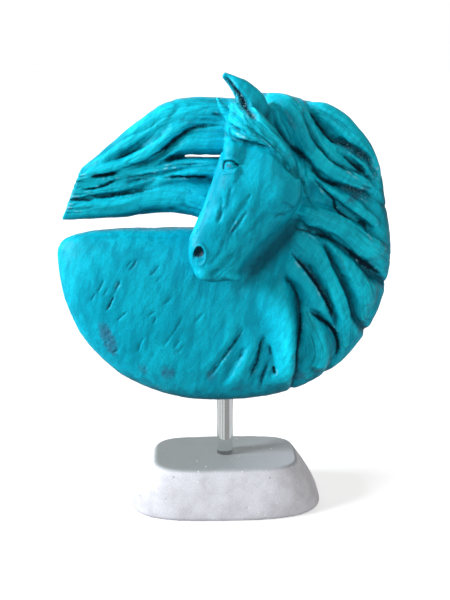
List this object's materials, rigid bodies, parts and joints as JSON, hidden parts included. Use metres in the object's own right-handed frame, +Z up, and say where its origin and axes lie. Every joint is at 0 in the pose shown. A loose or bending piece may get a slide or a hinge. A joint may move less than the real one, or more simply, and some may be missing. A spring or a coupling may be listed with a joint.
{
  "type": "horse sculpture",
  "caption": "Flat round sculpture of a horse looking back, with long swept mane locks, in turquoise patina, held up by a clear rod on a sloping cast concrete plinth.",
  "frame": {"origin": "centre of the plinth's flat underside", "axes": "+Z up; the carved front of the horse and its face look towards -Y; its muzzle and the swept locks point towards -X"},
  "size_m": [0.3034, 0.126, 0.4007],
  "materials": {
    "turquoise_patina": "brushed-on turquoise paint over carved light cement, satin, with dark blue-grey patina left in the clefts",
    "clear_acrylic": "polished clear acrylic rod",
    "cast_concrete": "pale grey cast concrete, matt, with small air holes"
  },
  "bodies": {
    "root": {"horse": "turquoise_patina", "rod": "clear_acrylic", "plinth": "cast_concrete"}
  },
  "joints": []
}
